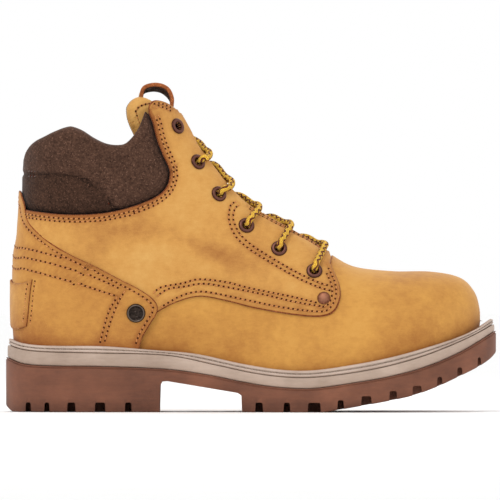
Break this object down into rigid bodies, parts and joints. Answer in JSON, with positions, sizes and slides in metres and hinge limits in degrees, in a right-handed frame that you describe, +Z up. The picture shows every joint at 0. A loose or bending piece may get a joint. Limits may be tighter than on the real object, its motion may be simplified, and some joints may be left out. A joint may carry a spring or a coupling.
{
  "type": "work boot",
  "caption": "Lace-up ankle-high safety boot, right foot: steel toe under plain nubuck vamp, padded suede collar, storm welt and lugged rubber sole.",
  "frame": {"origin": "middle of the sole's footprint, on the ground", "axes": "+X to the toe, +Y to the inner (medial) side of this right boot, +Z up"},
  "size_m": [0.3046, 0.109, 0.2035],
  "materials": {
    "nubuck": "matte wheat nubuck, fine nap, darker near seams and welt",
    "nubuck_dark": "matte nubuck, a shade more orange",
    "suede": "matte dark-brown suede",
    "lining_fabric": "brown textile lining",
    "foam": "open-cell foam",
    "board": "fibre board",
    "outsole_rubber": "matte brown moulded rubber",
    "midsole_rubber": "matte grey-taupe rubber",
    "welt_rubber": "matte taupe storm welt with a stitched groove",
    "footbed": "textile-covered cushion insole",
    "cap_steel": "plain pressed steel",
    "spring_steel": "spring-steel strip",
    "eyelet": "dark antique copper",
    "rivet": "copper-brown",
    "stud": "dark gunmetal",
    "lace": "round braid, yellow with a dark-brown zigzag",
    "aglet": "brown plastic lace tip"
  },
  "bodies": {
    "boot": {"outsole": "outsole_rubber", "midsole": "midsole_rubber", "welt": "welt_rubber", "shank": "spring_steel", "filler": "foam", "insole_board": "board", "vamp": "nubuck", "quarter_lateral": "nubuck", "quarter_medial": "nubuck", "counter_lateral": "nubuck_dark", "counter_medial": "nubuck_dark", "heel_patch": "nubuck", "eyestay_reinforcement_lateral": "nubuck_dark", "eyestay_reinforcement_medial": "nubuck_dark", "heel_stiffener": "board", "toe_cap": "cap_steel", "toe_cap_strip": "lining_fabric", "collar_lateral": "suede", "collar_medial": "suede", "collar_rear": "suede", "collar_foam": "foam", "collar_lining": "lining_fabric", "vamp_lining": "lining_fabric", "quarter_lining_lateral": "lining_fabric", "quarter_lining_medial": "lining_fabric", "eyelet_lateral_1": "eyelet", "eyelet_lateral_2": "eyelet", "eyelet_lateral_3": "eyelet", "eyelet_lateral_4": "eyelet", "eyelet_lateral_5": "eyelet", "eyelet_lateral_6": "eyelet", "eyelet_medial_1": "eyelet", "eyelet_medial_2": "eyelet", "eyelet_medial_3": "eyelet", "eyelet_medial_4": "eyelet", "eyelet_medial_5": "eyelet", "eyelet_medial_6": "eyelet", "rivet_lateral": "rivet", "rivet_medial": "rivet", "stud": "stud", "lace": "lace", "aglet_lateral": "aglet", "aglet_medial": "aglet", "footbed": "footbed"},
    "tongue": {"tongue": "nubuck", "tongue_pad": "foam", "tongue_lining": "lining_fabric", "pull_loop": "nubuck_dark"}
  },
  "joints": [
    {"name": "tongue_hinge", "type": "hinge", "parent": "boot", "child": "tongue", "pos_m": [0.05575, 0.00154, 0.08], "axis": [0, -1, 0], "range_deg": [0, 12], "stiffness_Nm_per_rad": 0.5}
  ]
}
